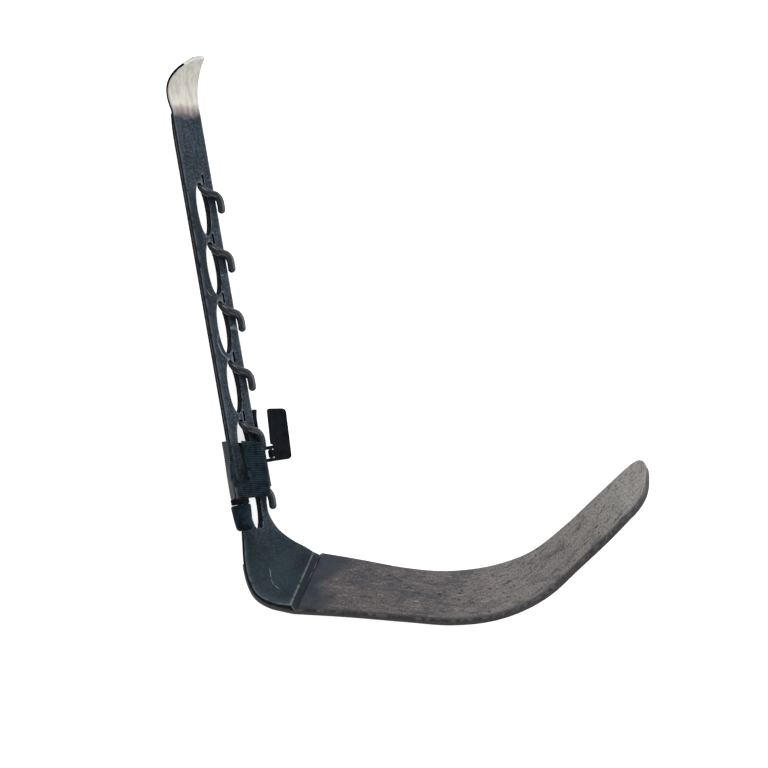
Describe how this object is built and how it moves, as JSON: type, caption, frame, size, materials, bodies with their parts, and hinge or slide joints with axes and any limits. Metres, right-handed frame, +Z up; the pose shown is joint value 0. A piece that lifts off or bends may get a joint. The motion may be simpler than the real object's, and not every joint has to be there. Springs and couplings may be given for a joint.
{
  "type": "hook-rack blade tool",
  "caption": "Windowed flat bar with a row of round hooks and a sliding ribbed sleeve with knob and thumb tab, joined at a bent heel to a long upturned blade.",
  "frame": {"origin": "centre of the bounding box, at the level of what the tool rests on", "axes": "+X runs towards the tip of the blade, +Y along the bar towards its bent end (leaning about 10 degrees towards -X), +Z up from the table, out of the front of the bar and blade"},
  "size_m": [0.242, 0.2846, 0.0302],
  "materials": {
    "bar_steel": "satin dark grey, bright at the bent end",
    "blade_steel": "worn, stained bare steel",
    "sleeve_black": "fine ribs",
    "tab_black": "semi-gloss black",
    "pin_steel": "turned",
    "liner_grey": "plain"
  },
  "bodies": {
    "frame": {"rack_bar": "bar_steel", "backing_strap": "bar_steel", "hook_1": "bar_steel", "hook_2": "bar_steel", "hook_3": "bar_steel", "hook_4": "bar_steel", "hook_5": "bar_steel", "hook_6": "bar_steel", "blade": "blade_steel", "strap_rivet_1": "pin_steel", "strap_rivet_2": "pin_steel", "strap_rivet_3": "pin_steel", "strap_rivet_4": "pin_steel", "heel_rivet_1": "pin_steel", "heel_rivet_2": "pin_steel", "heel_rivet_3": "pin_steel"},
    "carriage": {"sleeve": "sleeve_black", "sleeve_liner": "liner_grey", "edge_leaf": "tab_black", "tab_pin": "pin_steel", "knob_collar": "tab_black"},
    "knob": {"knob": "sleeve_black", "knob_spindle": "pin_steel"},
    "tab": {"thumb_tab": "tab_black"}
  },
  "joints": [
    {"name": "sleeve_slide", "type": "slide", "parent": "frame", "child": "carriage", "axis": [-0.1711, 0.9853, 0], "range_m": [0, 0.15]},
    {"name": "knob_turn", "type": "hinge", "parent": "carriage", "child": "knob", "pos_m": [-0.08272, -0.08644, 0.02108], "axis": [-0.1711, 0.9853, 0], "continuous": true},
    {"name": "tab_turn", "type": "hinge", "parent": "carriage", "child": "tab", "pos_m": [-0.06844, -0.05671, 0.01431], "axis": [0.1711, -0.9853, 0], "range_deg": [0, 100]}
  ]
}
